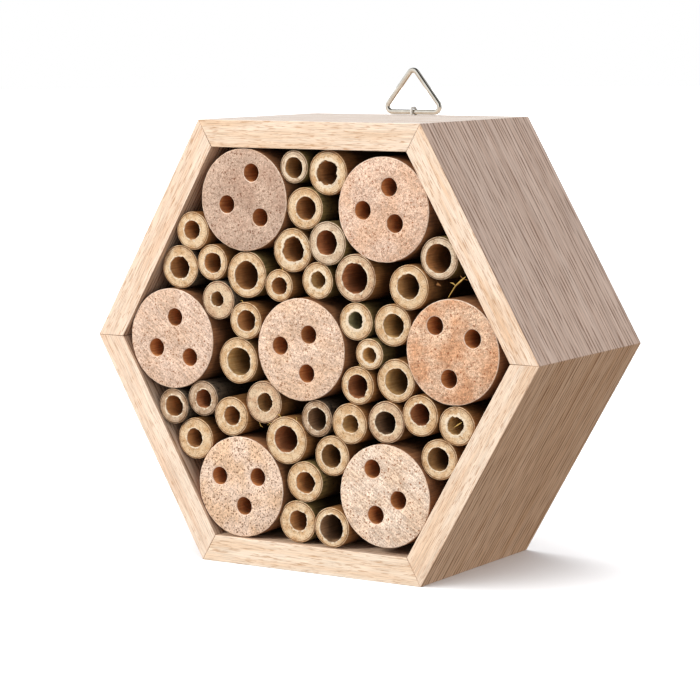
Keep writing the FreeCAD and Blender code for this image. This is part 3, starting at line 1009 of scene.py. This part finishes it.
def frayed_fibres(yellow):
    """Fibres that fray from the canes' skins and lean along them."""
    for cane, angle, length in FRAYS:
        low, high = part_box("cane_" + cane)
        way = math.radians(angle)
        out = Vector((math.cos(way), 0, math.sin(way)))
        aside = Vector((-math.sin(way), 0, math.cos(way)))
        radius = (high.x - low.x) / 2
        center = Vector(((low.x + high.x) / 2, low.y, (low.z + high.z) / 2))
        root = moved(center, 0, 0.5, 0) + out * radius
        end = root + (out * 0.5 + aside) * length * MM
        bow = moved((root + end) / 2 + out * 0.25 * length * MM, 0, 0.2, 0)
        sliver(
            f"frayed_fibre_{cane}_{angle}", 0.35 * MM, yellow, root - out * 0.3 * MM, bow, end)


def cane_chip(brown):
    """A chip of cane on top of the right-hand log."""
    low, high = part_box("log_right")
    chip = moved(Vector((low.x, low.y, high.z)), 10.5, 4, 4.6)
    sliver(
        "cane_chip", 1.5 * MM, brown, chip, moved(chip, 0.9, 0, 0.2),
        moved(chip, 1.9, 0.1, -0.3))


def straw_and_splinters():
    """Bits of straw and splinters of cane that lie between the pieces."""
    yellow = long_grain("dry_straw", "#F0CE7C", "#D2A650", "#8A6428", 0.3, 0.05)
    brown = long_grain("cane_splinter", "#C89058", "#94643A", "#3E2814", 0.3, 0.05)
    straw_between_canes(yellow, brown)
    bore_splinter(yellow)
    frayed_fibres(yellow)
    cane_chip(brown)


# ---- Studio ---------------------------------------------------------------------------

# How wide the floor is and how far off the soft lamps stand.
FLOOR_RADIUS = 8
LAMP_DISTANCE = 1.8
# Light of the room at its floor and at its ceiling, and of a wooden table in metal's mirror.
ROOM_LOW = (0.10, 0.06, 0.04, 1)
ROOM_HIGH = (0.84, 0.86, 0.92, 1)
TABLE = (0.60, 0.37, 0.19, 1)
WHITE = (1, 1, 1, 1)
# Which way the white card lies that metal mirrors.
CARD_WAY = (-0.75, -0.65, -0.1)

# The lens, in millimetres, and the camera's place: degrees round the house from its front,
# above the floor and out of level, the point that it looks at and how far off it stands.
LENS = 135.26
SENSOR = 36
AZIMUTH = 32.39
ELEVATION = 7.01
ROLL = -0.23
AIM = (0.0134, -0.0324, 0.0863)
CAMERA_DISTANCE = 1.002


def lamp(name, kind, strength, direction, distance):
    """A light that shines at the house from a direction."""
    light = bpy.data.lights.new(name, kind)
    light.energy = strength
    piece = bpy.data.objects.new(name, light)
    bpy.context.scene.collection.objects.link(piece)
    away = Vector(direction).normalized()
    piece.location = CENTER + away * distance
    piece.rotation_mode = "QUATERNION"
    piece.rotation_quaternion = (-away).to_track_quat("-Z", "Y")
    return piece


def link_light(light, floor, state):
    """Whether a light reaches only the floor (INCLUDE) or all but the floor (EXCLUDE)."""
    lit = bpy.data.collections.new(light.name + "_receivers")
    lit.objects.link(floor)
    light.light_linking.receiver_collection = lit
    lit.collection_objects[0].light_linking.link_state = state


def soft_lamp(name, watts, direction, width, tint, floor):
    """A round soft lamp that lights all but the floor and that metal doesn't mirror."""
    piece = lamp(name, "AREA", watts, direction, LAMP_DISTANCE)
    piece.data.shape = "DISK"
    piece.data.size = width
    piece.data.color = tint
    piece.visible_glossy = False
    link_light(piece, floor, "EXCLUDE")


def pale_floor():
    """The pale floor that the house stands on."""
    deselect()
    bpy.ops.mesh.primitive_circle_add(vertices=96, radius=FLOOR_RADIUS, fill_type="NGON")
    floor = named("studio_floor")
    material, tree, bsdf, place = new_material("pale_floor", Roughness=0.9)
    # Mottled in patches of a third of a metre, barely to be seen.
    mottle = add(tree, "TexNoise", {"Vector": place, "Scale": 3, "Detail": 2})
    shade = add(tree, "ValToRGB", {0: mottle}, [(0.3, "#F6F6F5"), (0.7, "#F8F8F7")])
    tree.links.new(output_of(shade), bsdf.inputs["Base Color"])
    dress(floor, material)
    floor.visible_diffuse = False
    floor.visible_glossy = False
    return floor


def surroundings():
    """Soft light, brighter from above, a white backdrop, and a room for metal to mirror."""
    world = bpy.data.worlds.new("studio")
    bpy.context.scene.world = world
    world.use_nodes = True
    tree = world.node_tree
    tree.nodes.clear()
    direction = add(tree, "TexCoord").outputs["Generated"]
    height = add(tree, "SeparateXYZ", {0: direction}).outputs["Z"]
    # The room, from its floor to its ceiling.
    up = add(tree, "MapRange", {"Value": height, "From Min": -1, "From Max": 1})
    room = add(tree, "Mix", {SHARE: up, UNDER: ROOM_LOW, UPPER: ROOM_HIGH}, **OVER)
    # What metal mirrors: a white card in front and to the left, a dark room behind and above
    # it, and a warm wooden table below.
    toward = add(tree, "VectorMath", {0: direction, 1: CARD_WAY}, operation="DOT_PRODUCT")
    facing = add(tree, "MapRange", {"Value": toward, "From Min": -1, "From Max": 1})
    card = add(tree, "ValToRGB", {0: facing}, [
        (0.0, 0.6), (0.14, 0.45), (0.26, 0.05), (0.58, 0.03), (0.70, 1.0)])
    below = add(tree, "MapRange", {"Value": height, "From Min": -0.08, "From Max": -0.35})
    mirror = add(tree, "Mix", {SHARE: below, UNDER: card, UPPER: TABLE}, **OVER)
    around = add(tree, "Background", {0: room})
    mirrored = add(tree, "Background", {0: mirror})
    backdrop = add(tree, "Background", {0: WHITE})
    path = add(tree, "LightPath")
    lit = add(tree, "MixShader", {0: path.outputs["Is Glossy Ray"], 1: around, 2: mirrored})
    seen = add(tree, "MixShader", {0: path.outputs["Is Camera Ray"], 1: lit, 2: backdrop})
    add(tree, "OutputWorld", {0: seen})


def studio():
    """A pale floor, soft surroundings, and a soft key light from the upper left."""
    floor = pale_floor()
    surroundings()
    # Each lamp's power in watts, its direction from the house, its width and its tint.
    soft_lamp("key", 26.6, (-0.506, -0.723, 0.469), 0.6, (1.0, 0.975, 0.93), floor)
    soft_lamp("fill", 7.5, (0.87, -0.5, 0.09), 1.0, (1.0, 0.97, 0.93), floor)
    wash = lamp("floor_wash", "SUN", 4.2, (-0.3, -0.35, 0.9), 3)
    wash.data.angle = math.radians(100)
    link_light(wash, floor, "INCLUDE")
    bpy.context.scene.view_settings.view_transform = "Standard"


def camera():
    """A long lens a little above the house, on the side of its right-hand boards."""
    lens = bpy.data.cameras.new("camera")
    lens.lens = LENS
    lens.sensor_width = SENSOR
    lens.clip_start = 0.05
    lens.clip_end = 50
    view = bpy.data.objects.new("camera", lens)
    bpy.context.scene.collection.objects.link(view)
    azimuth, elevation, roll = (math.radians(angle) for angle in (AZIMUTH, ELEVATION, ROLL))
    level_out = math.cos(elevation)
    back = Vector((
        math.sin(azimuth) * level_out, -math.cos(azimuth) * level_out, math.sin(elevation)))
    view.location = Vector(AIM) + back * CAMERA_DISTANCE
    level = (-back).to_track_quat("-Z", "Y")
    view.rotation_mode = "QUATERNION"
    view.rotation_quaternion = level @ Euler((0, 0, roll)).to_quaternion()
    bpy.context.scene.camera = view


camera()
studio()
frame_boards()
logs()
canes()
metal_and_back()
straw_and_splinters()
